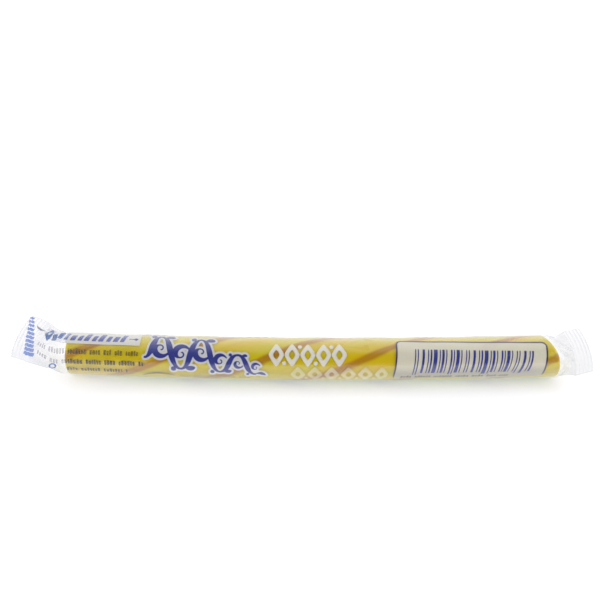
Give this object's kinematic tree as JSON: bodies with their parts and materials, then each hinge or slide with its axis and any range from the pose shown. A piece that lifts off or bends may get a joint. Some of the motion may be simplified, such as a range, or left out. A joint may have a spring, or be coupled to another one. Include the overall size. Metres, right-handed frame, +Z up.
{
  "type": "candy stick",
  "caption": "Round hard candy stick in its clear printed film sleeve, which closes at each end to a flat tail with a crimped, zigzag-cut seal.",
  "frame": {"origin": "on the flat spot that the pack rests on, under the middle of the stick", "axes": "+X along the stick towards the end with the shorter tail, -Y towards the printed front, +Z up"},
  "size_m": [0.1499, 0.0186, 0.0113],
  "materials": {
    "film_over_candy": "glossy clear film drawn tight over yellow candy",
    "film": "thin clear film, glossy, with a milky crimped seal at each end",
    "candy": "hard candy, satin yellow with three soft brown stripes wound round it",
    "print_white": "opaque white ink under the film's gloss",
    "print_blue": "dark blue ink under the film's gloss",
    "print_brown": "fine dark ink straight on the clear film"
  },
  "bodies": {
    "root": {"wrapped_candy_stick": "film_over_candy"}
  },
  "joints": []
}
